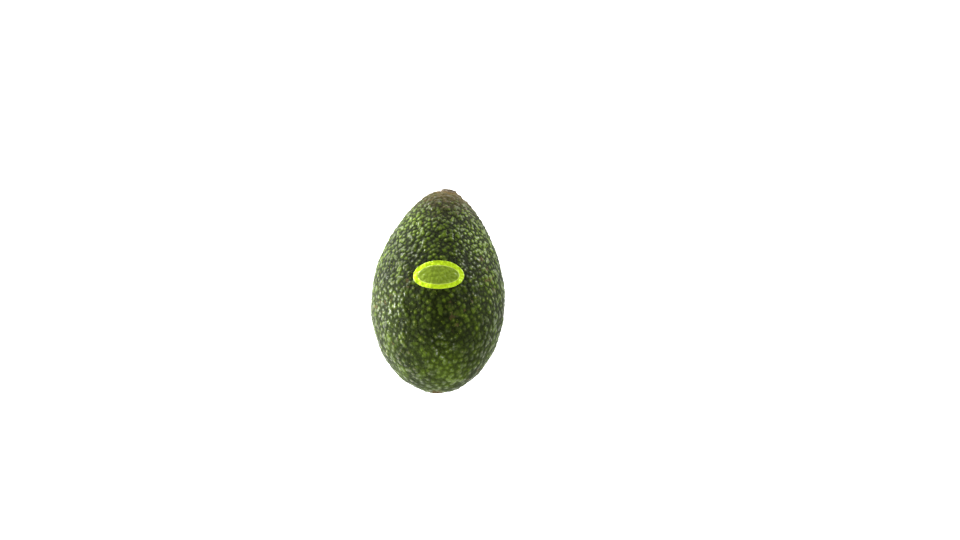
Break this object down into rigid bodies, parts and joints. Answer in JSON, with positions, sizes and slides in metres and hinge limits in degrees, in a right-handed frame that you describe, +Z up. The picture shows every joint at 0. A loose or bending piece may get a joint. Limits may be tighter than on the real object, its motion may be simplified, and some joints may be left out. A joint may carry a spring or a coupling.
{
  "type": "whole avocado",
  "caption": "Whole avocado lying on its side: pear-shaped green fruit with pebbled skin, a clipped stalk button at the stem end and a plain oval fruit label.",
  "frame": {"origin": "on the surface the fruit rests on, under the middle of its outline", "axes": "+Y along the fruit towards its stem end, +Z up from the resting spot towards the label, +X across the fruit"},
  "size_m": [0.068, 0.108, 0.0662],
  "materials": {
    "skin": "pebbled, waxy semi-gloss green rind with pale specks",
    "stalk_wood": "dry, matt, woody, paler on the clipped end",
    "label_film": "satin lime-green film with a pale rim"
  },
  "bodies": {
    "root": {"fruit": "skin", "stem_button": "stalk_wood", "label": "label_film"}
  },
  "joints": []
}
